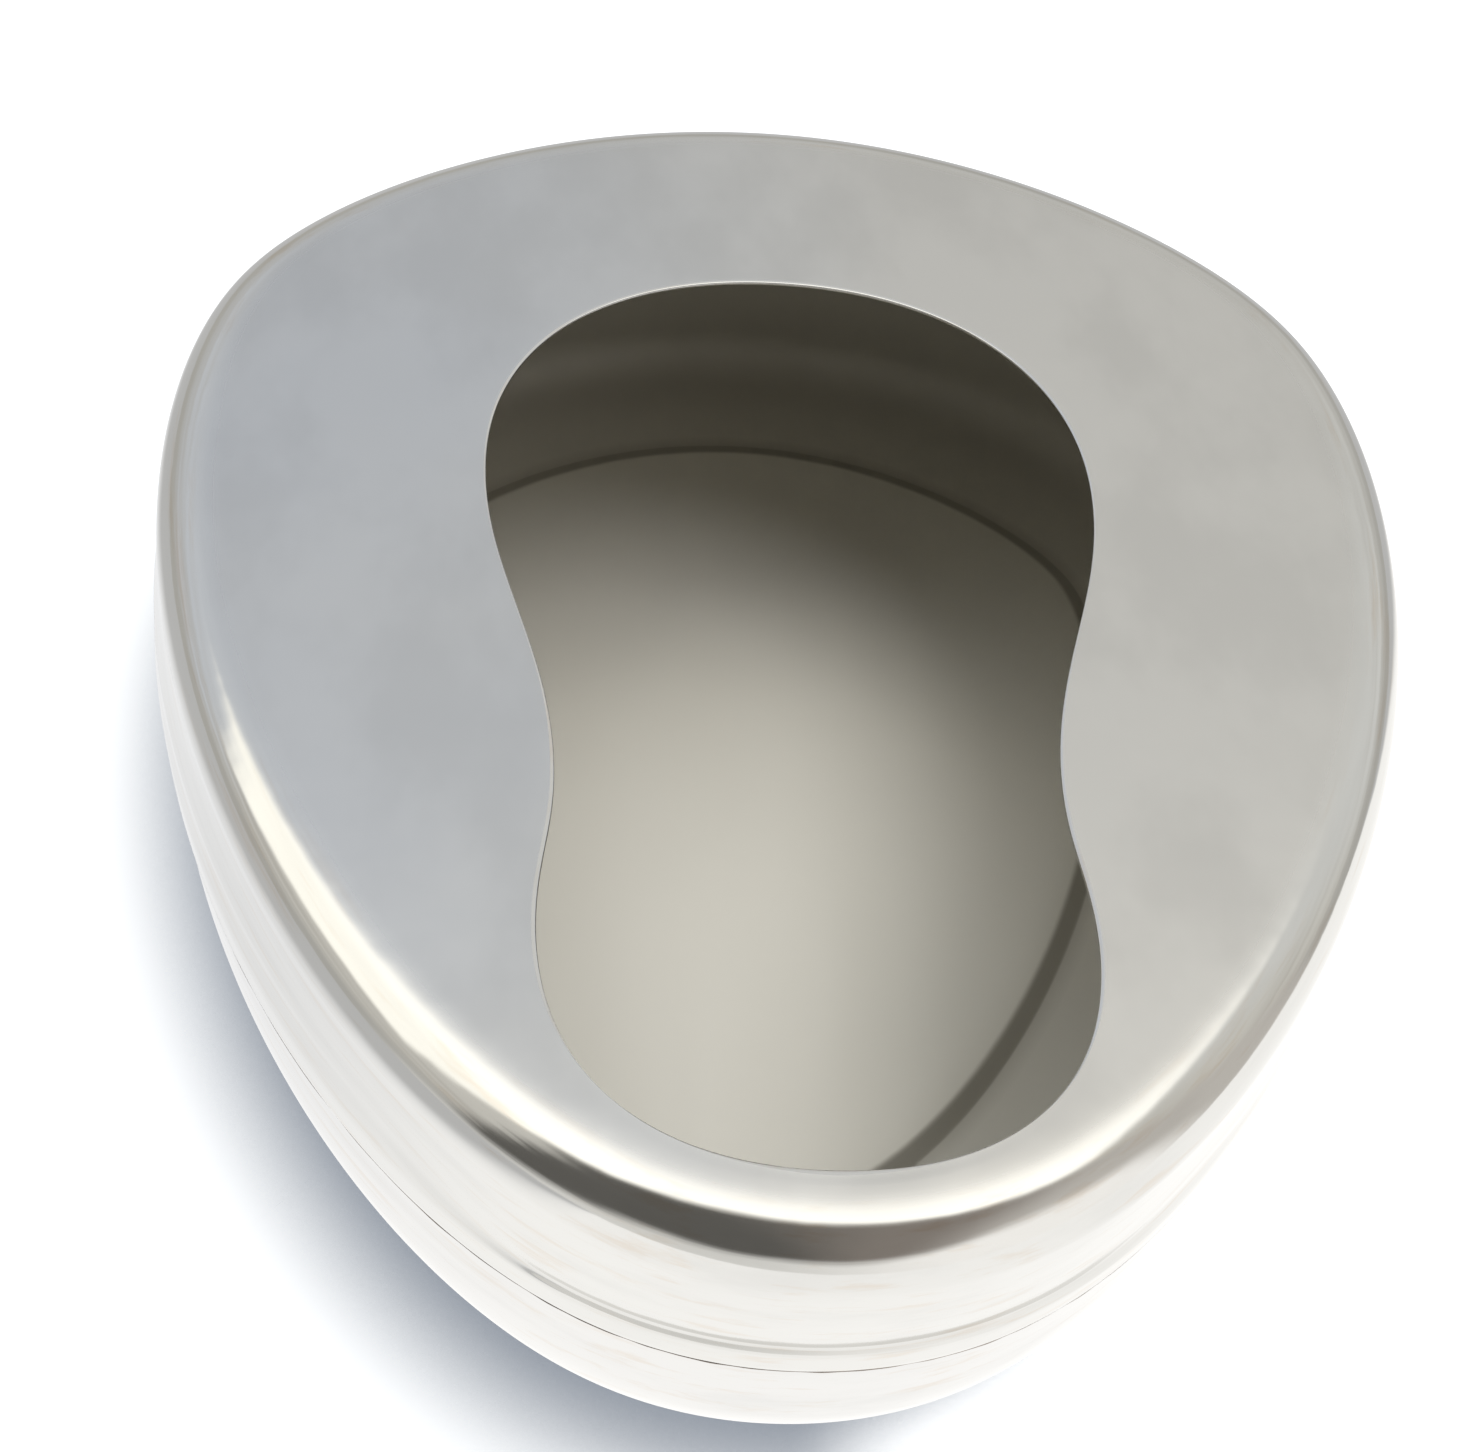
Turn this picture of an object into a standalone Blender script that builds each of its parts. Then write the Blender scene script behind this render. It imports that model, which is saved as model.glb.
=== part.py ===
"""A stainless steel bedpan of the perfection pattern, made of two deep-drawn pressings and a seam weld.

Metres, +Z up. The pan's foot ring rests on Z = 0. +Y points to the rear, the broad end that goes under
the patient's back, and -Y to the narrow front. The origin is the centre of the outline box, at floor level.

- seat_shell: the sloping deck with its keyhole opening, the rolled shoulder, the upper wall, and a
  joggled skirt that laps over the pan's rim.
- base_pan: the upright rim inside the skirt, the bowl-shaped lower wall, the foot ring that the pan stands
  on, and the floor panel, stamped up a little inside the foot so that it can't rock.
- seam_weld: the ground-back weld bead under the skirt's edge, all the way round.
"""

import math

import bmesh
import bpy
from mathutils import Vector
from mathutils.geometry import interpolate_bezier

SHEET = 0.0009  # thickness of both pressings
GAP = 0.0003  # clearance between neighbouring pieces
AROUND = 80  # points on each ring, a multiple of four so that the widest points are among them

# The shoulder's outer edge seen from above: the distance from the centre to its tangent line is a mean
# radius plus a few waves around the outline. Adding a constant gives an exactly parallel curve.
MEAN_RADIUS = 0.1545
WAVES = {
    2: 0.0120,  # longer than wide
    3: -0.0087,  # broad rear, narrow front
    4: -0.0004,  # slightly flattened ends
    5: 0.0016,  # fuller rear corners
}
# An offset from that outline is written as the sizes of its waves 0, 1 and 2: how far it stands outside all
# round, how far it is moved to the rear, and how much longer it is than wide.

# The seat
DECK_HEIGHT = 0.1050  # above the floor, at the outline's centre
DECK_SLOPE = -0.05  # the rear is lower, where the patient's back comes down
SHOULDER_RADIUS = 0.0113
SHOULDER_STEPS = 6
WALL_STEPS = 3

# The seam: a plane a little steeper than the deck
SEAM_HEIGHT = 0.0523
SEAM_SLOPE = -0.086
SKIRT_OFFSET = (0.0040, 0.0030, -0.0010)  # the skirt's outer face, from the shoulder's outer edge
SKIRT_DEPTH = 0.0070  # straight part of the skirt
JOGGLE_DEPTH = 0.0020  # height over which the wall steps out to the skirt
LAP_DEPTH = 0.0062  # how far the pan's rim reaches up inside the skirt

# The pan
UPRIGHT_DEPTH = 0.0205  # the pan's wall stays upright this far below the seam
BOWL_REACH = 0.0413  # from the upright wall in to the foot, mean of front and rear
BOWL_REACH_FRONT = 0.0120  # the front reaches in further by this much, and the rear less
BOWL_EXPONENT = 2.4  # of the superellipse that the bowl follows; 2 would be a plain quarter ellipse
BOWL_STEPS = 12
FOOT_WIDTH = 0.0040  # flat ring that the pan stands on
PANEL_STEP = 0.0055  # width of the slope from the foot up to the floor panel
PANEL_RISE = 0.0020  # the floor panel above the foot

# The weld bead
BEAD_RADIUS = 0.0009
BEAD_STEPS = 3

SMOOTH_BELOW = 30.0  # degrees between faces that are shaded as one surface

# The keyhole opening: its five stations on one half, as (half width, y), and how full the curves between
# them are, as a share of each curve's reach
OPENING_REAR_END = (0.0, 0.0881)
OPENING_REAR_LOBE = (0.0687, 0.0214)
OPENING_WAIST = (0.0508, -0.0717)
OPENING_FRONT_LOBE = (0.0532, -0.1023)
OPENING_FRONT_END = (0.0, -0.1541)
REAR_FULLNESS = 0.60
FLANK_FULLNESS = 0.38
FRONT_FULLNESS = 0.64
# Steps along each of the four curves; together they make half a ring
OPENING_STEPS = (12, 12, 4, 12)


def outline_point(phi, offset=()):
    """The point of the outline, with an offset, where its normal is at phi from +Y towards +X."""
    waves = [(0, MEAN_RADIUS), *WAVES.items(), *enumerate(offset)]
    distance = sum(size * math.cos(order * phi) for order, size in waves)
    rate = -sum(size * order * math.sin(order * phi) for order, size in waves)
    x = distance * math.sin(phi) + rate * math.cos(phi)
    y = distance * math.cos(phi) - rate * math.sin(phi)
    return x, y


def inside(offset, distance):
    """The offset whose outline lies this distance inside another's."""
    return (offset[0] - distance, *offset[1:])


PAN_OFFSET = inside(SKIRT_OFFSET, SHEET + GAP)  # the pan's outer face, just clear of the skirt's inner face


def deck_height(y):
    return DECK_HEIGHT + DECK_SLOPE * y


def seam_height(y):
    return SEAM_HEIGHT + SEAM_SLOPE * y


def ring(offset, height):
    """One closed ring of points on an offset outline. height gives a point's Z from its Y."""
    points = []
    for index in range(AROUND):
        x, y = outline_point(2.0 * math.pi * index / AROUND, offset)
        points.append(Vector((x, y, height(y))))
    return points


def opening_ring():
    """The keyhole opening's edge on the deck, starting at the rear end and running through +X."""
    stations = [
        OPENING_REAR_END,
        OPENING_REAR_LOBE,
        OPENING_WAIST,
        OPENING_FRONT_LOBE,
        OPENING_FRONT_END,
    ]
    stations = [Vector((x, y, 0.0)) for x, y in stations]
    rear, lobe, waist, front, tip = stations
    handles = [
        (
            Vector((REAR_FULLNESS * lobe.x, rear.y, 0.0)),
            Vector((lobe.x, lobe.y + REAR_FULLNESS * (rear.y - lobe.y), 0.0)),
        ),
        (
            Vector((lobe.x, lobe.y - FLANK_FULLNESS * (lobe.y - waist.y), 0.0)),
            Vector((waist.x, waist.y + FLANK_FULLNESS * (lobe.y - waist.y), 0.0)),
        ),
        (
            Vector((waist.x, waist.y - FLANK_FULLNESS * (waist.y - front.y), 0.0)),
            Vector((front.x, front.y + FLANK_FULLNESS * (waist.y - front.y), 0.0)),
        ),
        (
            Vector((front.x, front.y - FRONT_FULLNESS * (front.y - tip.y), 0.0)),
            Vector((FRONT_FULLNESS * front.x, tip.y, 0.0)),
        ),
    ]
    half = []
    for index, steps in enumerate(OPENING_STEPS):
        leave, arrive = handles[index]
        curve = interpolate_bezier(stations[index], leave, arrive, stations[index + 1], steps + 1)
        half.extend(curve[:-1])
    half.append(tip)
    mirrored = [Vector((-point.x, point.y, 0.0)) for point in reversed(half[1:-1])]
    return [Vector((point.x, point.y, deck_height(point.y))) for point in half + mirrored]


def add_ring(bm, points):
    """Adds a closed ring of vertices and edges, and returns its edges."""
    vertices = [bm.verts.new(point) for point in points]
    return [bm.edges.new((vertices[index - 1], vertices[index])) for index in range(len(vertices))]


def skin(bm, rings):
    """Bridges each ring to the next, and returns the edges of the first and the last."""
    first = add_ring(bm, rings[0])
    last = first
    for points in rings[1:]:
        edges = add_ring(bm, points)
        bmesh.ops.bridge_loops(bm, edges=last + edges)
        last = edges
    return first, last


def turn_outwards(bm, face, outwards):
    """Makes all faces agree, and turns them over together if the given face looks the wrong way."""
    bmesh.ops.recalc_face_normals(bm, faces=bm.faces)
    if face.normal.dot(outwards) < 0.0:
        bmesh.ops.reverse_faces(bm, faces=bm.faces)


def seat_rings():
    """The seat's outer skin, from the opening's edge over the shoulder and down to the skirt's edge."""
    rings = [opening_ring()]
    for step in range(SHOULDER_STEPS + 1):
        turn = 0.5 * math.pi * step / SHOULDER_STEPS
        inset = SHOULDER_RADIUS * (math.sin(turn) - 1.0)
        drop = SHOULDER_RADIUS * (1.0 - math.cos(turn))
        rings.append(ring((inset,), lambda y, drop=drop: deck_height(y) - drop))

    for step in range(1, WALL_STEPS + 1):
        share = step / WALL_STEPS
        # leaves the shoulder upright and leans out steadily towards the seam
        lean = 1.5 * share**2 - 0.5 * share**3
        offset = [lean * size for size in PAN_OFFSET]

        def height(y, share=share):
            top = deck_height(y) - SHOULDER_RADIUS
            foot = seam_height(y) + SKIRT_DEPTH + JOGGLE_DEPTH
            return top + share * (foot - top)

        rings.append(ring(offset, height))

    rings.append(ring(SKIRT_OFFSET, lambda y: seam_height(y) + SKIRT_DEPTH))
    rings.append(ring(SKIRT_OFFSET, seam_height))
    return rings


def bowl_ring(turn):
    """One ring of the bowl, from the bottom of the upright wall (turn 0) to the foot ring (90 degrees)."""
    power = 2.0 / BOWL_EXPONENT
    inward = 1.0 - max(math.cos(turn), 0.0) ** power
    remaining = 1.0 - math.sin(turn) ** power
    even, shift, stretch = PAN_OFFSET
    offset = (even - BOWL_REACH * inward, shift + BOWL_REACH_FRONT * inward, stretch)
    points = []
    for index in range(AROUND):
        phi = 2.0 * math.pi * index / AROUND
        x, y = outline_point(phi, offset)
        _, wall_y = outline_point(phi, PAN_OFFSET)
        bowl_height = seam_height(wall_y) - UPRIGHT_DEPTH
        points.append(Vector((x, y, bowl_height * remaining)))
    return points


def pan_rings():
    """The pan's outer skin, from the rim down the wall and round the bowl to the floor panel's edge."""
    rings = [ring(PAN_OFFSET, lambda y: seam_height(y) + LAP_DEPTH)]
    for step in range(BOWL_STEPS + 1):
        rings.append(bowl_ring(0.5 * math.pi * step / BOWL_STEPS))

    even, shift, stretch = PAN_OFFSET
    foot = (even - BOWL_REACH, shift + BOWL_REACH_FRONT, stretch)
    rings.append(ring(inside(foot, FOOT_WIDTH), lambda y: 0.0))
    rings.append(ring(inside(foot, FOOT_WIDTH + PANEL_STEP), lambda y: PANEL_RISE))
    return rings


def bead_rings():
    """The bead's section, a quarter round in the corner between the skirt's edge and the pan's wall."""
    corner = inside(SKIRT_OFFSET, SHEET)
    rings = [ring(corner, lambda y: seam_height(y) - GAP)]
    for step in range(BEAD_STEPS + 1):
        turn = 0.5 * math.pi * step / BEAD_STEPS
        offset = inside(corner, -BEAD_RADIUS * math.cos(turn))
        drop = GAP + BEAD_RADIUS * math.sin(turn)
        rings.append(ring(offset, lambda y, drop=drop: seam_height(y) - drop))
    return rings


def steel(name, colour, roughness):
    """Bare stainless steel."""
    material = bpy.data.materials.new(name)
    material.use_nodes = True
    shader = material.node_tree.nodes["Principled BSDF"]
    shader.inputs["Base Color"].default_value = (*colour, 1.0)
    shader.inputs["Metallic"].default_value = 1.0
    shader.inputs["Roughness"].default_value = roughness
    return material


def finish(bm, name, level, colour, roughness):
    """Makes the named object, with its own origin on the centre line at the given level."""
    bmesh.ops.translate(bm, verts=bm.verts, vec=(0.0, 0.0, -level))
    mesh = bpy.data.meshes.new(name)
    bm.to_mesh(mesh)
    bm.free()
    mesh.shade_smooth()
    mesh.set_sharp_from_angle(angle=math.radians(SMOOTH_BELOW))
    mesh.materials.append(steel(name, colour, roughness))
    piece = bpy.data.objects.new(name, mesh)
    piece.location.z = level
    bpy.context.scene.collection.objects.link(piece)
    return piece


def thicken(piece):
    """Gives a skin the sheet's thickness, inwards from its outer face."""
    sheet = piece.modifiers.new("sheet", "SOLIDIFY")
    sheet.thickness = SHEET
    sheet.offset = -1.0
    sheet.use_even_offset = True


def seat_shell():
    bm = bmesh.new()
    skin(bm, seat_rings())
    bm.faces.ensure_lookup_table()
    turn_outwards(bm, bm.faces[0], Vector((0.0, 0.0, 1.0)))
    piece = finish(bm, "seat_shell", SEAM_HEIGHT, (0.66, 0.67, 0.69), 0.30)
    thicken(piece)
    return piece


def base_pan():
    bm = bmesh.new()
    _, panel_edges = skin(bm, pan_rings())
    panel = bmesh.ops.contextual_create(bm, geom=panel_edges)["faces"][0]
    turn_outwards(bm, panel, Vector((0.0, 0.0, -1.0)))
    piece = finish(bm, "base_pan", 0.0, (0.72, 0.72, 0.71), 0.22)
    thicken(piece)
    return piece


def seam_weld():
    bm = bmesh.new()
    first, last = skin(bm, bead_rings())
    bmesh.ops.bridge_loops(bm, edges=last + first)
    bmesh.ops.recalc_face_normals(bm, faces=bm.faces)
    return finish(bm, "seam_weld", SEAM_HEIGHT, (0.58, 0.56, 0.54), 0.38)


def centre_shift():
    """How far the outline moves along Y to put the middle of its length at the origin."""
    _, rear = outline_point(0.0, SKIRT_OFFSET)
    _, front = outline_point(math.pi, SKIRT_OFFSET)
    return -0.5 * (rear + front)


for item in list(bpy.data.objects):
    bpy.data.objects.remove(item, do_unlink=True)

bedpan = bpy.data.objects.new("bedpan", None)
bedpan.location.y = centre_shift()
bpy.context.scene.collection.objects.link(bedpan)
for part in (seat_shell(), base_pan(), seam_weld()):
    part.parent = bedpan
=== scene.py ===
"""Looks for the stainless steel bedpan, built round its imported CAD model.

Metres, +Z up, +Y to the broad rear end. The three pieces follow the CAD's own construction at a much finer
step, with rounded sheet edges and the slight waviness of hand-polished sheet:

- seat_steel_shell stands for seat_shell, base_steel_pan for base_pan and seam_ground_weld for seam_weld.
"""

import math

import bmesh
import bpy
import numpy as np
from mathutils import Matrix, Vector


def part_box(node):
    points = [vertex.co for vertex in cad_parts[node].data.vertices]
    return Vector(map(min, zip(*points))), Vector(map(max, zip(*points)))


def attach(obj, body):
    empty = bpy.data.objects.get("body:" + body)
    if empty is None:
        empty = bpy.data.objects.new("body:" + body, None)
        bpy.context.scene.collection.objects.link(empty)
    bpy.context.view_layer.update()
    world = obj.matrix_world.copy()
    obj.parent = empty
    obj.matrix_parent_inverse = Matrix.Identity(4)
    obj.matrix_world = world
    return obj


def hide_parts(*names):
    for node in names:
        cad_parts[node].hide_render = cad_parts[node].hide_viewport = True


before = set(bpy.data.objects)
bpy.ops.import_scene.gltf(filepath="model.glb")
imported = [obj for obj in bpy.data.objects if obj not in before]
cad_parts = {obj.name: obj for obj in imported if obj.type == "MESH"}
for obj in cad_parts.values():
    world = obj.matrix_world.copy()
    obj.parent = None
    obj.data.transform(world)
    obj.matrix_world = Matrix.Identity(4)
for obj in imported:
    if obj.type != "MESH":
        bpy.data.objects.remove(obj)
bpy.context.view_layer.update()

SEAT_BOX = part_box("seat_shell")
PAN_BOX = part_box("base_pan")
QUARTER = 0.5 * math.pi

SHEET = 0.0009  # thickness of both pressings
GAP = 0.0003  # clearance between neighbouring pieces
EDGE_ROUND = 0.00028  # deburred radius of the sheet's cut edges

# The outline, as the distance from its centre to its tangent line: a mean radius plus waves around it
WAVES = {2: 0.0120, 3: -0.0087, 4: -0.0004, 5: 0.0016}
SKIRT_OFFSET = (0.0040, 0.0030, -0.0010)  # the skirt outside the shoulder, as waves 0, 1 and 2
PAN_OFFSET = (SKIRT_OFFSET[0] - SHEET - GAP, *SKIRT_OFFSET[1:])
MEAN_RADIUS = SEAT_BOX[1].x - SKIRT_OFFSET[0] + SKIRT_OFFSET[2] + WAVES[2] - WAVES[4]

# The seat
DECK_SLOPE = -0.05
SHOULDER_RADIUS = 0.0113
SHOULDER_LEAD = 0.0045  # the deck starts to bend, very gently, this far in from the shoulder
SHOULDER_POLISH = 0.35  # the turn of the shoulder, in radians, over which satin gives way to polish
LIP_WIDTH = 0.0012  # the deck turns down this near the opening
LIP_DROP = 0.00028
LIP_POLISH = 0.9
DENT = 0.00010  # how uneven the hand-worked deck is
DENT_SWELLS = ((61.0, 17.0, 0.6), (23.0, -71.0, 2.0), (97.0, 83.0, 0.0))  # radians per metre in X, Y; phase
OPENING_STATIONS = ((0.0, 0.0881), (0.0687, 0.0214), (0.0508, -0.0717), (0.0532, -0.1023), (0.0, -0.1541))
REAR_FULLNESS, FLANK_FULLNESS, FRONT_FULLNESS = 0.60, 0.38, 0.64
OPENING_SHARES = (0.3, 0.3, 0.1, 0.3)  # share of each half's points on each of its four curves

# The seam, the skirt above it, and the joggle where the wall steps out to the skirt
SEAM_SLOPE = -0.086
SKIRT_DEPTH = 0.0068  # straight part of the skirt below the joggle's curve
JOGGLE_DEPTH = 0.0024  # height of the joggle's S curve at the front, where it is sharpest
JOGGLE_SOFTENING = 0.0100  # how much taller it is from the flanks to the rear
JOGGLE_SHARP_TO = -0.160  # the front stretch, up to this Y, has the sharp joggle
JOGGLE_SOFT_FROM = -0.130
LAP_DEPTH = 0.0062  # the pan's rim above the seam
BEAD_RADIUS = 0.0009
BEAD_WOBBLES = ((0.05, 23, 0.4), (0.04, 57, 0.0), (0.03, 91, 1.0))  # size, how many times round, phase

# The pan
UPRIGHT_DEPTH = 0.0205  # the pan's wall stays upright this far below the seam
BOWL_REACH = 0.0413  # from the upright wall in to the foot ring
BOWL_REACH_FRONT = 0.0120  # further in at the front by this much, and less at the rear
BOWL_EXPONENT = 2.4
# On the pan's inner face these polish values also set the painted shade, from the shaded walls down to the
# paler floor.
BOWL_POLISH = 0.4  # at the foot, falling from 1 halfway down the bowl
FOOT_WIDTH = 0.0040
FOOT_POLISH = 0.7
PANEL_STEP = 0.0055  # width of the slope from the foot up to the floor panel
PANEL_RISE = 0.0020
FLOOR_CAP = 0.97  # share of the way to the middle of the floor at which a small cap closes it

AROUND = 480  # points on each ring
PHI = np.arange(AROUND) * 2.0 * math.pi / AROUND
# Steps from ring to ring on each stretch of the skins
LIP_STEPS, DECK_STEPS, SHOULDER_STEPS, WALL_STEPS, JOGGLE_STEPS, SKIRT_STEPS = 6, 32, 36, 28, 12, 5
RIM_STEPS, BOWL_STEPS, PANEL_STEPS, FLOOR_STEPS, BEAD_STEPS = 16, 48, 12, 14, 8

# Colours of the steel, and how high its surface detail stands
# The satin colours run cool on the left and warm on the right: a painted reflection of the room.
SEAT_COOL, SEAT_WARM, SEAT_MIRROR = (0.60, 0.615, 0.635), (0.66, 0.65, 0.625), (0.74, 0.735, 0.715)
PAN_COOL, PAN_WARM, PAN_MIRROR = (0.64, 0.64, 0.63), (0.66, 0.65, 0.63), (0.76, 0.755, 0.745)
# A brown tint, streaked across the polished steel.
BROWN_STREAK_TINT = (0.66, 0.57, 0.47)
# The inner walls take the darker colour as painted shade, where they lie under the deck; the floor stays
# pale.
INTERIOR_PALE, INTERIOR_PAINTED_SHADE = (0.90, 0.885, 0.825), (0.52, 0.505, 0.46)
# The weld's colours are darkened as painted shade, to draw the dark line along the seam.
WELD_DARK, WELD_LIGHT = (0.30, 0.26, 0.23), (0.50, 0.46, 0.43)
BLACK = (0.0, 0.0, 0.0)
RIPPLE_HEIGHT, GRAIN_HEIGHT, LINE_HEIGHT = 0.00022, 0.000004, 0.0000014
INTERIOR_RIPPLE_HEIGHT, INTERIOR_GRAIN_HEIGHT, GRINDING_HEIGHT = 0.0003, 0.000003, 0.00001

# The table as the camera sees it
TABLE_SIZE = 20.0
TABLE_DROP = 0.0002  # below the foot ring, so that the two don't coincide
TABLE_GREY = (0.30, 0.31, 0.325)  # the table's own grey, lit up to white away from the pan
TABLE_SHINE, CONTACT_SHINE = (0.87, 0.885, 0.90), (0.10, 0.13, 0.18)
CONTACT_REACH = 0.035  # how far the pan's contact shadow spreads
# The table as the steel reflects it
NEAR_GLOW, LEFT_GLOW, BEYOND_GLOW = (1.16, 1.15, 1.13), (0.92, 0.925, 0.935), (0.60, 0.60, 0.60)

# The room as the steel reflects it
WALL_COOL, WALL_WARM, WALL_FRONT = (0.66, 0.69, 0.74), (0.77, 0.77, 0.75), (0.70, 0.68, 0.63)
WALL_LAYER, WALL_FOOT = (0.50, 0.48, 0.44), (0.50, 0.49, 0.46)
DIM_LEFT, DIM_MIDDLE, DIM_RIGHT = (0.130, 0.125, 0.115), (0.27, 0.24, 0.215), (0.62, 0.59, 0.55)
PAPER_LEFT, PAPER_RIGHT = (0.83, 0.82, 0.79), (1.15, 1.13, 1.10)
PANEL_GLOW, PANEL_GLOW_LEFT = (1.62, 1.59, 1.50), (1.40, 1.37, 1.26)
PANEL_LEFT, PANEL_RIGHT = -0.84, 0.50
BACKDROP, BACKDROP_STRENGTH = (1.0, 1.0, 1.0), 1.1

KEY_PLACE, KEY_SIZE, KEY_POWER, KEY_COLOUR = (0.50, 0.06, 1.70), 0.9, 24.0, (1.0, 0.985, 0.96)

CAMERA_ANGLES = (-8.04, 52.46, 8.74)  # azimuth, elevation and roll in degrees
CAMERA_TARGET = (-0.0158, -0.0490)  # the point that it looks at, on the deck's level
CAMERA_REACH = 0.4284
CAMERA_LENS, CAMERA_SENSOR, CAMERA_CLIP = 51.85, 36.0, 0.01


# --- curves and heights ------------------------------------------------------------------------------------


def outline(offset=(), phi=PHI):
    """Points of the outline, with an offset, where its normal is at phi from +Y towards +X."""
    waves = [(0, MEAN_RADIUS), *WAVES.items(), *enumerate(offset)]
    distance = sum(size * np.cos(order * phi) for order, size in waves)
    rate = -sum(size * order * np.sin(order * phi) for order, size in waves)
    x = distance * np.sin(phi) + rate * np.cos(phi)
    y = distance * np.cos(phi) - rate * np.sin(phi)
    return x, y


ENDS = outline(SKIRT_OFFSET, np.array([0.0, math.pi]))[1]
CENTRE_SHIFT = -0.5 * ENDS.sum()
DECK_FRONT = outline((-SHOULDER_RADIUS,), np.array([math.pi]))[1][0]
DECK_HEIGHT = SEAT_BOX[1].z - DECK_SLOPE * DECK_FRONT
PAN_FRONT = outline(PAN_OFFSET, np.array([math.pi]))[1][0]
SEAM_HEIGHT = PAN_BOX[1].z - LAP_DEPTH - SEAM_SLOPE * PAN_FRONT


def ease(t):
    return t * t * (3.0 - 2.0 * t)


def round_step(t, bend=0.22):
    """A straight slope from 0 to 1 that is rounded over the first and the last bend of its length."""
    full = 1.0 - bend
    if t < bend:
        return 0.5 * t * t / (bend * full)
    if t > full:
        return 1.0 - 0.5 * (1.0 - t) ** 2 / (bend * full)
    return (t - 0.5 * bend) / full


def shares_from_start(steps):
    """How far along each step starts, from 0."""
    return np.linspace(0.0, 1.0, steps, endpoint=False)


def shares_to_end(steps):
    """How far along each step ends, up to 1."""
    return np.linspace(0.0, 1.0, steps + 1)[1:]


def deck_height(y):
    return DECK_HEIGHT + DECK_SLOPE * y


def seam_height(y):
    return SEAM_HEIGHT + SEAM_SLOPE * y


def joggle_depth(y):
    share = np.clip((y - JOGGLE_SHARP_TO) / (JOGGLE_SOFT_FROM - JOGGLE_SHARP_TO), 0.0, 1.0)
    return JOGGLE_DEPTH + JOGGLE_SOFTENING * ease(share)


def dents(flat):
    """How far the deck lies below its plane at each point, because hand-worked sheet is slightly uneven."""
    x, y = flat[:, 0], flat[:, 1]
    swell = sum(np.sin(along * x + across * y + phase) for along, across, phase in DENT_SWELLS)
    return DENT * (0.5 + 0.5 * swell / len(DENT_SWELLS))


def ring(offset, height):
    """One closed ring on an offset outline. height gives Z from Y."""
    x, y = outline(offset)
    return np.stack([x, y, height(y)], axis=-1)


def bezier(points, count):
    t = np.linspace(0.0, 1.0, count, endpoint=False)[:, None]
    p0, p1, p2, p3 = (np.array(point) for point in points)
    return (1 - t) ** 3 * p0 + 3 * (1 - t) ** 2 * t * p1 + 3 * (1 - t) * t**2 * p2 + t**3 * p3


def upright_handles(start, end, fullness):
    """A curve that leaves its start and reaches its end along Y."""
    reach = fullness * (start[1] - end[1])
    return start, (start[0], start[1] - reach), (end[0], end[1] + reach), end


def opening_outline():
    """The keyhole's edge from above, one point for each of the outline's, from the rear through +X."""
    rear, lobe, waist, front, tip = OPENING_STATIONS
    rear_handle = (REAR_FULLNESS * lobe[0], rear[1])
    lobe_handle = (lobe[0], lobe[1] + REAR_FULLNESS * (rear[1] - lobe[1]))
    front_handle = (front[0], front[1] - FRONT_FULLNESS * (front[1] - tip[1]))
    tip_handle = (FRONT_FULLNESS * front[0], tip[1])
    curves = (
        (rear, rear_handle, lobe_handle, lobe),
        upright_handles(lobe, waist, FLANK_FULLNESS),
        upright_handles(waist, front, FLANK_FULLNESS),
        (front, front_handle, tip_handle, tip),
    )
    half = [bezier(curve, round(share * AROUND / 2)) for curve, share in zip(curves, OPENING_SHARES)]
    half = np.vstack([*half, [tip]])
    return np.vstack([half, half[-2:0:-1] * (-1.0, 1.0)])


# --- the pieces' skins, as rings from the first edge to the last -------------------------------------------
# Each ring has a polish. Outside, 0 is satin and 1 is mirror-polished. Inside, 0 is pale and 1 is darker, a
# painted shade on the inner walls.


def deck_rings():
    """The deck, from the turned-down lip of the opening to where the shoulder's lead-in starts."""
    rings, polish_and_shade = [], []
    hole = opening_outline()
    edge = np.stack(outline((-SHOULDER_RADIUS - SHOULDER_LEAD,)), axis=-1)
    across = edge - hole
    width = np.linalg.norm(across, axis=1, keepdims=True)
    for share in shares_from_start(LIP_STEPS):
        flat = hole + across / width * LIP_WIDTH * share
        drop = LIP_DROP * (1.0 - share) ** 2
        rings.append(np.column_stack([flat, deck_height(flat[:, 1]) - drop - dents(flat)]))
        polish_and_shade.append(LIP_POLISH)
    for share in shares_from_start(DECK_STEPS):
        flat = hole + across / width * (LIP_WIDTH + share * (width - LIP_WIDTH))
        rings.append(np.column_stack([flat, deck_height(flat[:, 1]) - dents(flat) * ease(1.0 - share)]))
        polish_and_shade.append(0.0)
    return rings, polish_and_shade


def shoulder_rings():
    """The rolled shoulder, its rings closer together where it leaves the deck."""
    rings, polish_and_shade = [], []
    for turn in QUARTER * np.linspace(0.0, 1.0, SHOULDER_STEPS + 1) ** 1.2:
        lead = SHOULDER_LEAD * (1.0 - math.sin(turn)) ** 4
        inset = SHOULDER_RADIUS * (math.sin(turn) - 1.0) - lead
        drop = SHOULDER_RADIUS * (1.0 - math.cos(turn))
        rings.append(ring((inset,), lambda y, drop=drop: deck_height(y) - drop))
        polish_and_shade.append(ease(min(turn / SHOULDER_POLISH, 1.0)))
    return rings, polish_and_shade


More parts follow.
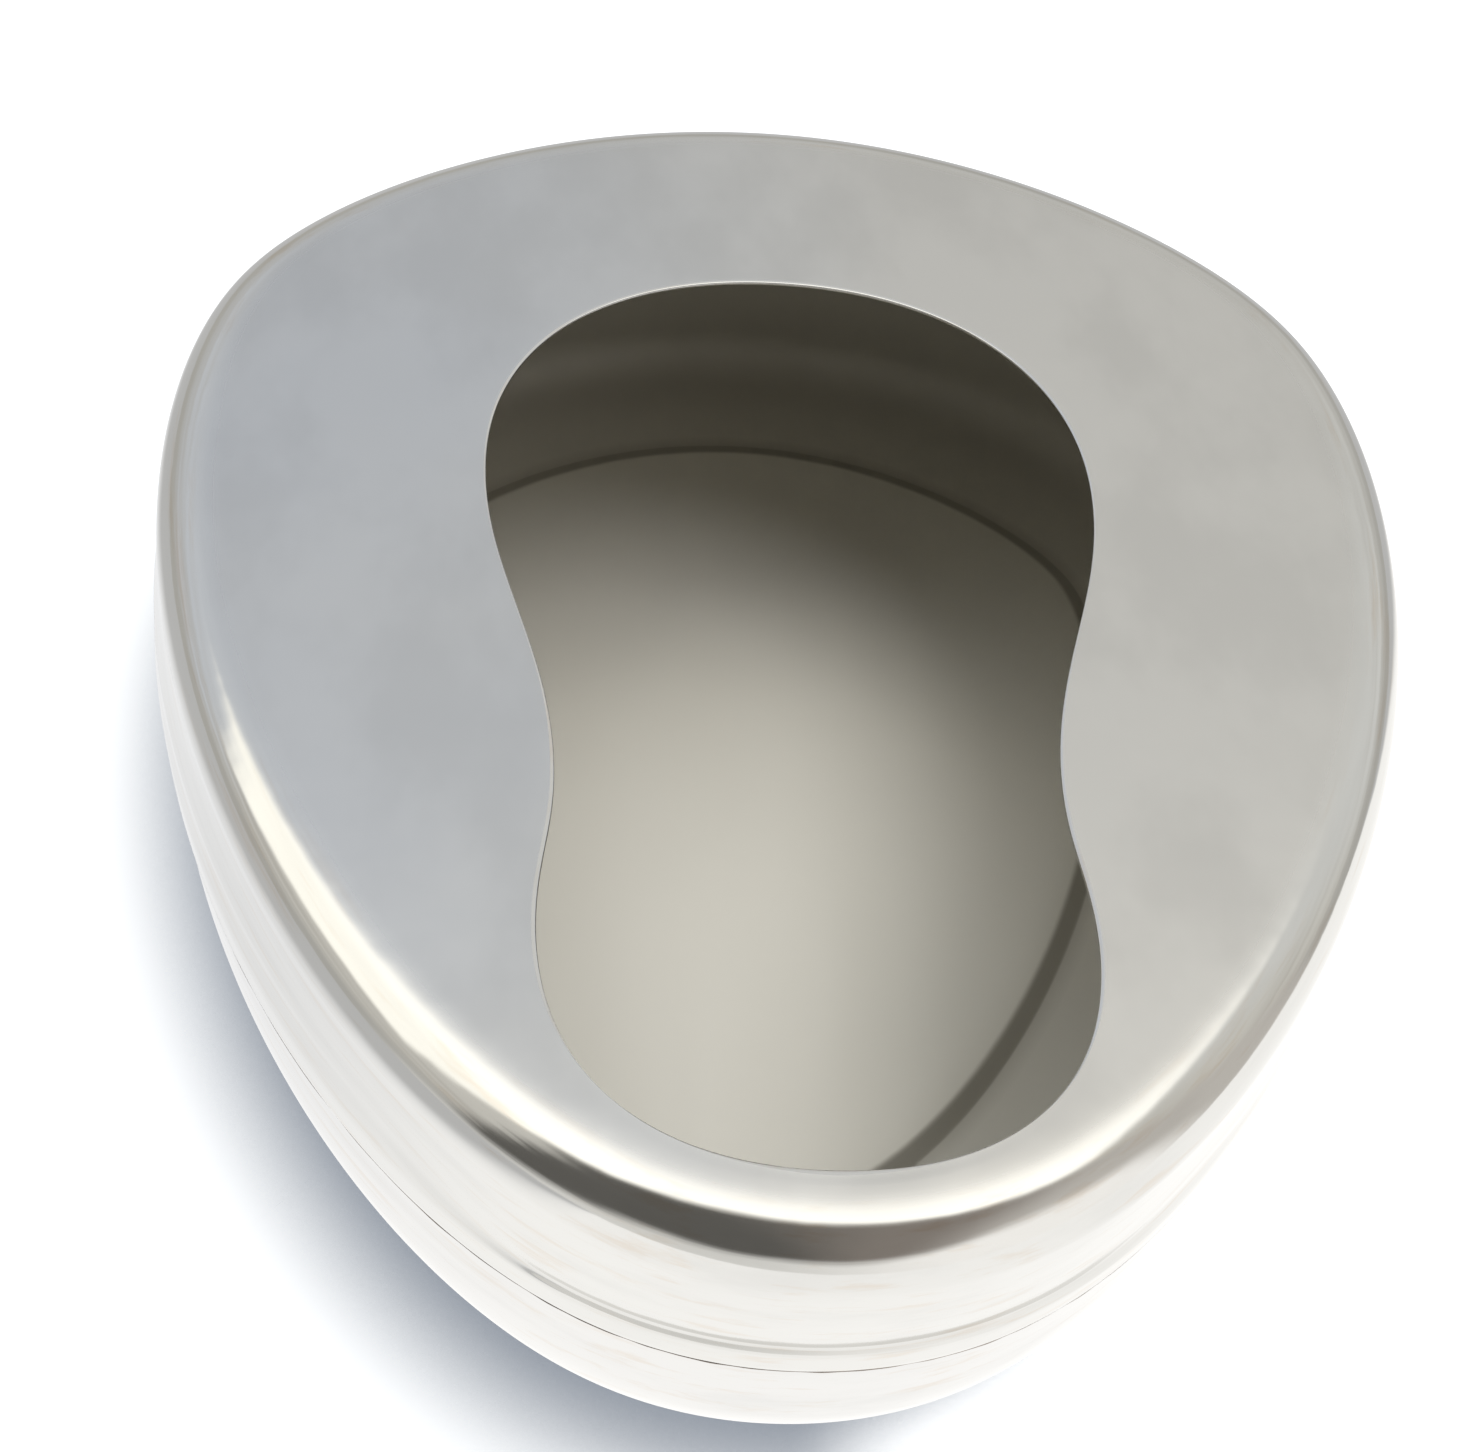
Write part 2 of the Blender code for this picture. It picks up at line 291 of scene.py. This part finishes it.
def side_rings():
    """The upper wall, the joggle, and the skirt down to its edge."""
    rings = []
    for share in shares_to_end(WALL_STEPS):
        # leaves the shoulder upright and leans out steadily towards the seam
        lean = 1.5 * share**2 - 0.5 * share**3
        offset = [lean * size for size in PAN_OFFSET]

        def height(y, share=share):
            top = deck_height(y) - SHOULDER_RADIUS
            return top + share * (seam_height(y) + SKIRT_DEPTH + joggle_depth(y) - top)

        rings.append(ring(offset, height))

    for share in shares_to_end(JOGGLE_STEPS):
        offset = (PAN_OFFSET[0] + ease(share) * (SHEET + GAP), *PAN_OFFSET[1:])

        def height(y, share=share):
            return seam_height(y) + SKIRT_DEPTH + (1.0 - share) * joggle_depth(y)

        rings.append(ring(offset, height))

    for share in shares_to_end(SKIRT_STEPS):
        above = (1.0 - share) * SKIRT_DEPTH
        rings.append(ring(SKIRT_OFFSET, lambda y, above=above: seam_height(y) + above))
    return rings, [1.0] * len(rings)


def seat_rings():
    rings, polish_and_shade = [], []
    for stretch in (deck_rings(), shoulder_rings(), side_rings()):
        rings.extend(stretch[0])
        polish_and_shade.extend(stretch[1])
    return rings, polish_and_shade


def pan_rings():
    """The rim, the upright wall, the bowl, the foot ring, and the floor panel in to a small cap."""
    rings, polish_and_shade = [], []
    for share in shares_from_start(RIM_STEPS):
        above = LAP_DEPTH - share * (LAP_DEPTH + UPRIGHT_DEPTH)
        rings.append(ring(PAN_OFFSET, lambda y, above=above: seam_height(y) + above))
        polish_and_shade.append(1.0)

    even, shift, stretch = PAN_OFFSET
    bowl_height = seam_height(outline(PAN_OFFSET)[1]) - UPRIGHT_DEPTH
    power = 2.0 / BOWL_EXPONENT
    for share in np.linspace(0.0, 1.0, BOWL_STEPS + 1):
        inward = 1.0 - max(math.cos(QUARTER * share), 0.0) ** power
        remaining = 1.0 - math.sin(QUARTER * share) ** power
        x, y = outline((even - BOWL_REACH * inward, shift + BOWL_REACH_FRONT * inward, stretch))
        rings.append(np.stack([x, y, bowl_height * remaining], axis=-1))
        polish_and_shade.append(1.0 - (1.0 - BOWL_POLISH) * ease(max(0.0, 2.0 * share - 1.0)))

    foot = even - BOWL_REACH - FOOT_WIDTH
    rings.append(ring((foot, shift + BOWL_REACH_FRONT, stretch), np.zeros_like))
    polish_and_shade.append(FOOT_POLISH)
    for share in shares_to_end(PANEL_STEPS):
        rise = PANEL_RISE * round_step(share)
        offset = (foot - PANEL_STEP * share, shift + BOWL_REACH_FRONT, stretch)
        rings.append(ring(offset, lambda y, rise=rise: np.full_like(y, rise)))
        polish_and_shade.append(1.0 - ease(max(0.0, 4.0 * share - 3.0)))

    edge = rings[-1]
    middle = edge.mean(axis=0)
    for share in FLOOR_CAP * shares_to_end(FLOOR_STEPS):
        rings.append(edge + share * (middle - edge))
        polish_and_shade.append(0.0)
    return rings, polish_and_shade


def bead_rings():
    """A quarter round in the corner under the skirt's edge, uneven where it was ground back."""
    corner = (SKIRT_OFFSET[0] - SHEET, *SKIRT_OFFSET[1:])
    wobble = 1.0 + sum(size * np.sin(times * PHI + phase) for size, times, phase in BEAD_WOBBLES)
    wobble /= wobble.max()
    rings = [ring(corner, lambda y: seam_height(y) - GAP)]
    x, y = outline(corner)
    for turn in np.linspace(0.0, QUARTER, BEAD_STEPS + 1):
        out = BEAD_RADIUS * math.cos(turn) * wobble
        z = seam_height(y) - GAP - BEAD_RADIUS * math.sin(turn) * wobble
        rings.append(np.stack([x + out * np.sin(PHI), y + out * np.cos(PHI), z], axis=-1))
    return rings, [1.0] * len(rings)


# --- turning rings into meshes -----------------------------------------------------------------------------


def ring_faces(count, closed_section):
    """Four-sided faces between each ring and the next, round all of each ring."""
    faces = []
    for row in range(count if closed_section else count - 1):
        start = row * AROUND
        below = (row + 1) % count * AROUND
        for column in range(AROUND):
            across = (column + 1) % AROUND
            faces.append((start + column, start + across, below + across, below + column))
    return faces


def skin_coordinates(mesh, points, count):
    """UVs in metres: round the skin, and down it from its first ring."""
    stacked = points.reshape(count, AROUND, 3)
    down = np.linalg.norm(np.diff(stacked, axis=0), axis=2).mean(axis=1)
    down = np.concatenate([[0.0], np.cumsum(down), [0.0]])
    girth = np.linalg.norm(np.diff(stacked, axis=1, append=stacked[:, :1]), axis=2).sum(axis=1).max()
    loop_vertices = np.zeros(len(mesh.loops), np.int32)
    mesh.loops.foreach_get("vertex_index", loop_vertices)
    columns = loop_vertices % AROUND
    corners = np.arange(len(columns)) % 4
    wrapped = (columns == 0) & ((corners == 1) | (corners == 2))
    coordinates = np.zeros((len(mesh.loops), 2), np.float32)
    coordinates[:, 0] = np.where(wrapped, girth, columns * girth / AROUND)
    coordinates[:, 1] = down[loop_vertices // AROUND]
    return coordinates


def build_skin(name, rings, polish_and_shade, closed_section=False, cap=False):
    """A smooth mesh through the rings, with UVs and each ring's polish, which on the inner face also sets
    painted shade.
    """
    count = len(rings)
    points = np.vstack(rings)
    points[:, 1] += CENTRE_SHIFT
    faces = ring_faces(count, closed_section)
    if cap:
        faces.append(tuple(range((count - 1) * AROUND, count * AROUND)))
    mesh = bpy.data.meshes.new(name)
    mesh.from_pydata(points.tolist(), [], faces)

    attribute = mesh.attributes.new("polish_and_shade", "FLOAT", "POINT")
    attribute.data.foreach_set("value", np.repeat(np.array(polish_and_shade, np.float32), AROUND))
    layer = mesh.uv_layers.new(name="skin")
    layer.data.foreach_set("uv", skin_coordinates(mesh, points, count).ravel())
    mesh.shade_smooth()
    return mesh


def make_piece(name, mesh, node, materials):
    piece = bpy.data.objects.new(name, mesh)
    bpy.context.scene.collection.objects.link(piece)
    for material in materials:
        mesh.materials.append(material)
    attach(piece, "root")
    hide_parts(node)
    return piece


def sheet_metal(piece):
    """Thickens a skin inwards to the sheet's gauge, and rounds its cut edges."""
    sheet = piece.modifiers.new("sheet", "SOLIDIFY")
    sheet.thickness = SHEET
    sheet.offset = -1.0
    sheet.use_even_offset = True
    sheet.material_offset = 1
    sheet.material_offset_rim = 0
    edge = piece.modifiers.new("edge", "BEVEL")
    edge.width = EDGE_ROUND
    edge.segments = 3
    edge.limit_method = "ANGLE"
    edge.angle_limit = math.radians(50.0)
    edge.use_clamp_overlap = False


def face_outwards(mesh, index, outwards):
    """Turns every face over if the given one looks the wrong way."""
    if mesh.polygons[index].normal.dot(Vector(outwards)) < 0.0:
        mesh.flip_normals()


# --- materials ---------------------------------------------------------------------------------------------


class Graph:
    """Adds nodes to one node tree. All its methods but node and feed return a socket for the next to take."""

    def __init__(self, tree):
        self.tree = tree
        tree.nodes.clear()

    def node(self, kind, inputs=None, **settings):
        made = self.tree.nodes.new(kind)
        for key, value in settings.items():
            setattr(made, key, value)
        for key, value in (inputs or {}).items():
            self.feed(made.inputs[key], value)
        return made

    def feed(self, socket, value):
        if isinstance(value, bpy.types.NodeSocket):
            self.tree.links.new(value, socket)
        elif socket.type == "RGBA":
            socket.default_value = (*value, 1.0)
        else:
            socket.default_value = value

    def math(self, operation, a, b, clamp=False):
        return self.node("ShaderNodeMath", {0: a, 1: b}, operation=operation, use_clamp=clamp).outputs[0]

    def add(self, a, b, clamp=False):
        return self.math("ADD", a, b, clamp)

    def subtract(self, a, b):
        return self.math("SUBTRACT", a, b)

    def multiply(self, a, b):
        return self.math("MULTIPLY", a, b)

    def smaller(self, a, b):
        return self.math("MINIMUM", a, b)

    def larger(self, a, b):
        return self.math("MAXIMUM", a, b)

    def line(self, value, slope, start):
        """start where value is 0, and slope more for each 1 of value."""
        return self.add(self.multiply(value, slope), start)

    def mix(self, share, a, b):
        """A colour between a, at share 0, and b, at share 1."""
        made = self.node("ShaderNodeMix", {"Factor": share}, data_type="RGBA")
        self.feed(made.inputs[6], a)
        self.feed(made.inputs[7], b)
        return made.outputs[2]

    def blend(self, share, a, b):
        """A number between a and b."""
        return self.node("ShaderNodeMix", {0: share, 2: a, 3: b}).outputs[0]

    def switch(self, share, a, b):
        """One shader where share is 0, and another where it is 1."""
        return self.node("ShaderNodeMixShader", {0: share, 1: a, 2: b}).outputs[0]

    def ramp(self, value, low, high, start=0.0, end=1.0):
        """A soft step from start, where value is low, to end, where it is high."""
        inputs = {"Value": value, "From Min": low, "From Max": high, "To Min": start, "To Max": end}
        return self.node("ShaderNodeMapRange", inputs, interpolation_type="SMOOTHSTEP").outputs[0]

    def noise(self, vector, scale, detail=2.0, rough=0.5):
        inputs = {"Vector": vector, "Scale": scale, "Detail": detail, "Roughness": rough}
        return self.node("ShaderNodeTexNoise", inputs).outputs[0]

    def streaks(self, vector, scales, detail, rough, scale=1.0):
        """Noise with its own scale along each axis."""
        stretched = self.node("ShaderNodeVectorMath", {0: vector, 1: scales}, operation="MULTIPLY")
        return self.noise(stretched.outputs[0], scale, detail, rough)

    def bump(self, height, distance, strength=1.0, normal=None):
        inputs = {"Height": height, "Distance": distance, "Strength": strength}
        if normal is not None:
            inputs["Normal"] = normal
        return self.node("ShaderNodeBump", inputs).outputs[0]

    def place(self):
        return self.node("ShaderNodeTexCoord").outputs["Object"]

    def skin(self):
        return self.node("ShaderNodeUVMap", uv_map="skin").outputs[0]

    def polish_and_shade(self):
        return self.node("ShaderNodeAttribute", attribute_name="polish_and_shade").outputs["Fac"]

    def seen_by_camera(self):
        return self.node("ShaderNodeLightPath").outputs["Is Camera Ray"]


def new_material(name):
    material = bpy.data.materials.new(name)
    material.use_nodes = True
    return material, Graph(material.node_tree)


def steel_material(name):
    material, graph = new_material(name)
    shader = graph.node("ShaderNodeBsdfPrincipled", {"Metallic": 1.0})
    graph.node("ShaderNodeOutputMaterial", {0: shader.outputs[0]})
    return material, graph, shader


def outside_steel(name, cool, warm, mirror):
    """Satin where polish is 0 and mirror-polished where it is 1."""
    material, graph, shader = steel_material(name)
    place, skin, polish_and_shade = graph.place(), graph.skin(), graph.polish_and_shade()
    side = graph.node("ShaderNodeSeparateXYZ", {0: place}).outputs[0]

    # satin: cooler on the left and warmer on the right, a painted reflection of the room, with clouds and
    # slightly darker patches
    cloud = graph.noise(place, 11.0, 3.0, 0.45)
    tint = graph.add(graph.ramp(side, -0.10, 0.10), graph.multiply(cloud, 0.5), clamp=True)
    satin = graph.mix(tint, cool, warm)
    patch = graph.streaks(place, (1.0, 0.6, 1.0), 4.0, 0.55, scale=26.0)
    patch = graph.multiply(graph.ramp(patch, 0.40, 0.66), 0.8)
    satin = graph.mix(patch, satin, graph.mix(0.10, satin, BLACK))

    # polished: buffed along the skin, with greyer stains and brown streaks
    buffing = graph.streaks(skin, (9.0, 900.0, 1.0), 3.0, 0.6)
    stain = graph.ramp(graph.streaks(skin, (14.0, 90.0, 1.0), 4.0, 0.6), 0.42, 0.72)
    bright = graph.mix(graph.multiply(stain, 0.45), mirror, tuple(0.86 * part for part in mirror))
    tint_mask = graph.ramp(graph.streaks(skin, (26.0, 260.0, 1.0), 4.0, 0.65), 0.52, 0.70)
    bright = graph.mix(graph.multiply(tint_mask, 0.40), bright, BROWN_STREAK_TINT)

    # The renderer's denoiser takes steel smoother than 0.274 for a mirror, and a fine line shows where the
    # satin crosses that. So the satin's roughness stays above it.
    satin_rough = graph.line(cloud, 0.11, 0.258)
    mirror_rough = graph.line(buffing, 0.10, 0.05)

    grain = graph.noise(place, 2600.0, 2.0, 0.6)
    ripple = graph.streaks(place, (1.0, 1.0, 1.6), 3.0, 0.5, scale=30.0)
    scratch = graph.ramp(graph.streaks(skin, (16.0, 1900.0, 1.0), 1.0, 0.5), 0.74, 0.80)
    lines = graph.bump(graph.add(buffing, graph.multiply(scratch, polish_and_shade)), LINE_HEIGHT, polish_and_shade)
    waves = graph.bump(ripple, RIPPLE_HEIGHT, 1.0, lines)

    graph.feed(shader.inputs["Base Color"], graph.mix(polish_and_shade, satin, bright))
    graph.feed(shader.inputs["Roughness"], graph.blend(polish_and_shade, satin_rough, mirror_rough))
    graph.feed(shader.inputs["Normal"], graph.bump(grain, GRAIN_HEIGHT, graph.subtract(1.0, polish_and_shade), waves))
    return material


def interior_steel(name):
    """The unpolished inner face, with a faint rolled grain along the pan, and walls darker than the floor:
    painted shade, where they lie under the deck.
    """
    material, graph, shader = steel_material(name)
    place, polish_and_shade = graph.place(), graph.polish_and_shade()
    cloud = graph.noise(place, 14.0, 3.0, 0.5)
    streak = graph.streaks(place, (60.0, 5.0, 5.0), 3.0, 0.55)
    tone = graph.add(graph.multiply(cloud, 0.6), graph.multiply(streak, 0.5), clamp=True)
    pale = graph.mix(tone, tuple(0.93 * part for part in INTERIOR_PALE), INTERIOR_PALE)
    grain = graph.streaks(place, (2400.0, 300.0, 2400.0), 2.0, 0.6)
    waves = graph.bump(graph.noise(place, 22.0, 1.0, 0.5), INTERIOR_RIPPLE_HEIGHT)

    graph.feed(shader.inputs["Base Color"], graph.mix(polish_and_shade, pale, INTERIOR_PAINTED_SHADE))
    graph.feed(shader.inputs["Metallic"], 0.75)
    graph.feed(shader.inputs["Roughness"], graph.line(streak, 0.10, graph.blend(polish_and_shade, 0.54, 0.60)))
    graph.feed(shader.inputs["Normal"], graph.bump(grain, INTERIOR_GRAIN_HEIGHT, 1.0, waves))
    return material


def weld_steel(name):
    """Ground-back weld metal, tinted by its heat and duller than the sheet beside it. Its colour is darkened
    further as painted shade, for the dark line along the seam.
    """
    material, graph, shader = steel_material(name)
    skin = graph.skin()
    grinding = graph.streaks(skin, (120.0, 1500.0, 1.0), 3.0, 0.6)
    tint_mask = graph.streaks(skin, (40.0, 40.0, 1.0), 2.0, 0.5)
    graph.feed(shader.inputs["Base Color"], graph.mix(tint_mask, WELD_DARK, WELD_LIGHT))
    graph.feed(shader.inputs["Roughness"], graph.line(grinding, 0.2, 0.18))
    graph.feed(shader.inputs["Normal"], graph.bump(grinding, GRINDING_HEIGHT))
    return material


# --- the stage ---------------------------------------------------------------------------------------------


def table_material():
    """White, with the pan's contact shadow. The steel sees a plainer table, and from below there is none."""
    material, graph = new_material("white_table")
    place = graph.place()
    distance = graph.node("ShaderNodeVectorMath", {0: place}, operation="LENGTH").outputs["Value"]
    x, y, _ = graph.node("ShaderNodeSeparateXYZ", {0: place}).outputs

    # as the camera sees it: the contact shadow is wide on the left, and on the right only deep under the bowl
    openness = graph.node("ShaderNodeAmbientOcclusion", {"Distance": CONTACT_REACH}, samples=12).outputs["AO"]
    lit = graph.multiply(graph.ramp(x, -0.035, 0.045), graph.ramp(openness, 0.25, 0.50))
    openness = graph.larger(openness, lit)
    shine = graph.mix(graph.ramp(openness, 0.30, 1.0), CONTACT_SHINE, TABLE_SHINE)
    inputs = {"Base Color": TABLE_GREY, "Roughness": 0.9, "Specular IOR Level": 0.0}
    inputs.update({"Emission Color": shine, "Emission Strength": 1.0})
    white = graph.node("ShaderNodeBsdfPrincipled", inputs).outputs[0]

    # as the polished steel sees it: evenly lit, but falling off to the left and the rear
    left = graph.ramp(graph.subtract(graph.multiply(y, 0.80), x), -0.08, 0.14)
    rear = graph.ramp(graph.subtract(y, graph.multiply(x, 0.25)), 0.0, 0.12)
    near = graph.mix(left, NEAR_GLOW, LEFT_GLOW)
    beyond = graph.multiply(graph.ramp(distance, 0.20, 0.36), graph.larger(left, rear))
    glow = graph.node("ShaderNodeEmission", {0: graph.mix(beyond, near, BEYOND_GLOW)}).outputs[0]

    top = graph.switch(graph.seen_by_camera(), glow, white)
    clear = graph.node("ShaderNodeBsdfTransparent").outputs[0]
    back = graph.node("ShaderNodeNewGeometry").outputs["Backfacing"]
    graph.node("ShaderNodeOutputMaterial", {0: graph.switch(back, top, clear)})
    material.cycles.emission_sampling = "NONE"
    return material


def studio_floor():
    bm = bmesh.new()
    bmesh.ops.create_grid(bm, x_segments=1, y_segments=1, size=TABLE_SIZE)
    mesh = bpy.data.meshes.new("table")
    bm.to_mesh(mesh)
    bm.free()
    mesh.materials.append(table_material())
    table = bpy.data.objects.new("table", mesh)
    table.location.z = -TABLE_DROP
    bpy.context.scene.collection.objects.link(table)


def pale_walls(graph, direction, x, y, z):
    """Walls that are cooler on the left, with faint layers low down and a darker foot."""
    walls = graph.mix(graph.ramp(x, -0.20, 0.25), WALL_COOL, WALL_WARM)
    walls = graph.mix(graph.ramp(y, 0.45, 0.15), walls, WALL_FRONT)
    layers = graph.streaks(direction, (1.0, 1.0, 12.0), 2.0, 0.5)
    layers = graph.multiply(graph.ramp(layers, 0.38, 0.62), 0.55)
    room = graph.mix(graph.multiply(layers, graph.ramp(z, 0.65, 0.45)), walls, WALL_LAYER)
    return graph.mix(graph.ramp(z, 0.34, 0.10), room, WALL_FOOT)


def dim_front(graph, room, front_edge, cloud, wisps, x, y):
    """The dim front of the room, darkest where the viewer stands on its left."""
    side_edge = graph.larger(graph.line(x, 0.93, 0.30), graph.line(x, 0.524, 0.04))
    past = graph.subtract(graph.smaller(front_edge, side_edge), y)
    past = graph.add(past, graph.multiply(cloud, 0.10))
    past = graph.add(past, graph.multiply(wisps, 0.16))
    dim = graph.mix(graph.ramp(x, -0.05, 0.26), DIM_LEFT, DIM_MIDDLE)
    dim = graph.mix(graph.ramp(x, 0.30, 0.64), dim, DIM_RIGHT)
    return graph.mix(graph.ramp(past, -0.05, 0.09), room, dim)


def low_sheet(graph, room, wisps, x, y, z):
    """The white table goes on as a low white sheet in front, higher on the right."""
    top = graph.add(graph.ramp(x, 0.20, 0.60, 0.43, 0.68), graph.ramp(x, -0.42, -0.95, 0.0, -0.34))
    top = graph.add(top, graph.multiply(wisps, 0.22))
    below = graph.ramp(graph.subtract(top, z), -0.12, 0.20)
    paper = graph.mix(graph.ramp(x, -0.25, 0.55), PAPER_LEFT, PAPER_RIGHT)
    return graph.mix(graph.multiply(below, graph.ramp(y, -0.15, -0.40)), room, paper)


def ceiling_panel(graph, room, front_edge, cloud, x, y):
    """A bright panel. inside is how far within the nearest of its edges the direction lies."""
    corner = graph.multiply(graph.smaller(graph.add(x, 0.25), 0.0), -0.35)
    inside = graph.subtract(y, front_edge)
    for edge in (
        graph.multiply(graph.subtract(graph.add(corner, 0.475), y), 0.8),
        graph.subtract(graph.line(x, 0.66, 0.88), y),
        graph.add(x, -PANEL_LEFT),
        graph.subtract(PANEL_RIGHT, x),
    ):
        inside = graph.smaller(inside, edge)
    inside = graph.add(inside, graph.multiply(cloud, 0.08))
    panel = graph.mix(graph.ramp(x, -0.22, -0.50), PANEL_GLOW, PANEL_GLOW_LEFT)
    return graph.mix(graph.ramp(inside, -0.03, 0.05), room, panel)


def studio_world():
    """A soft room: a bright ceiling panel, pale walls, and dimness where the viewer stands.

    The panel and the viewer are placed by direction, so they show in the polished steel as they would from
    far away. The camera itself sees plain white.
    """
    world = bpy.data.worlds.new("studio")
    world.use_nodes = True
    bpy.context.scene.world = world
    graph = Graph(world.node_tree)
    direction = graph.node("ShaderNodeTexCoord").outputs["Generated"]
    x, y, z = graph.node("ShaderNodeSeparateXYZ", {0: direction}).outputs
    cloud = graph.subtract(graph.noise(direction, 2.5, 3.0, 0.5), 0.5)
    wisps = graph.subtract(graph.streaks(direction, (2.0, 2.0, 16.0), 4.0, 0.6), 0.5)
    front_edge = graph.line(graph.smaller(x, 0.0), 0.33, 0.12)

    room = pale_walls(graph, direction, x, y, z)
    room = dim_front(graph, room, front_edge, cloud, wisps, x, y)
    room = low_sheet(graph, room, wisps, x, y, z)
    room = ceiling_panel(graph, room, front_edge, cloud, x, y)

    radiance = graph.node("ShaderNodeBackground", {0: room, 1: 1.0}).outputs[0]
    plain = graph.node("ShaderNodeBackground", {0: BACKDROP, 1: BACKDROP_STRENGTH}).outputs[0]
    graph.node("ShaderNodeOutputWorld", {0: graph.switch(graph.seen_by_camera(), radiance, plain)})


def key_light():
    """A soft disk above and to the right. The steel doesn't reflect it."""
    data = bpy.data.lights.new("key", "AREA")
    data.shape = "DISK"
    data.size = KEY_SIZE
    data.energy = KEY_POWER
    data.color = KEY_COLOUR
    light = bpy.data.objects.new("key", data)
    light.location = KEY_PLACE
    light.rotation_mode = "QUATERNION"
    light.rotation_quaternion = (-Vector(KEY_PLACE)).to_track_quat("-Z", "Y")
    light.visible_glossy = False
    bpy.context.scene.collection.objects.link(light)


def studio_camera():
    """Looks down on the front end from a little to its left, tipped slightly to one side."""
    azimuth, elevation, roll = (math.radians(angle) for angle in CAMERA_ANGLES)
    level = Vector((math.cos(azimuth), math.sin(azimuth), 0.0))
    forward = Vector((-math.sin(azimuth), math.cos(azimuth), 0.0))
    back = Vector((0.0, 0.0, math.sin(elevation))) - math.cos(elevation) * forward
    upright = back.cross(level)
    right = math.cos(roll) * level + math.sin(roll) * upright
    up = math.cos(roll) * upright - math.sin(roll) * level
    data = bpy.data.cameras.new("camera")
    data.sensor_width = CAMERA_SENSOR
    data.lens = CAMERA_LENS
    data.clip_start = CAMERA_CLIP
    camera = bpy.data.objects.new("camera", data)
    turn = Matrix((right, up, back)).transposed()
    target = Vector((*CAMERA_TARGET, DECK_HEIGHT))
    camera.matrix_world = Matrix.Translation(target + CAMERA_REACH * back) @ turn.to_4x4()
    bpy.context.scene.collection.objects.link(camera)
    bpy.context.scene.camera = camera


def build_pieces():
    inside = interior_steel("satin_interior")
    seat_out = outside_steel("seat_finish", SEAT_COOL, SEAT_WARM, SEAT_MIRROR)
    pan_out = outside_steel("pan_finish", PAN_COOL, PAN_WARM, PAN_MIRROR)

    mesh = build_skin("seat_steel_shell", *seat_rings())
    face_outwards(mesh, 0, (0.0, 0.0, 1.0))
    seat = make_piece("seat_steel_shell", mesh, "seat_shell", [seat_out, inside])
    sheet_metal(seat)

    mesh = build_skin("base_steel_pan", *pan_rings(), cap=True)
    face_outwards(mesh, len(mesh.polygons) - 1, (0.0, 0.0, -1.0))
    pan = make_piece("base_steel_pan", mesh, "base_pan", [pan_out, inside])
    sheet_metal(pan)

    mesh = build_skin("seam_ground_weld", *bead_rings(), closed_section=True)
    face_outwards(mesh, AROUND, (0.0, 1.0, 0.0))
    make_piece("seam_ground_weld", mesh, "seam_weld", [weld_steel("weld_finish_and_seam_shade")])


build_pieces()
studio_floor()
studio_world()
key_light()
studio_camera()
bpy.context.scene.view_settings.view_transform = "Standard"
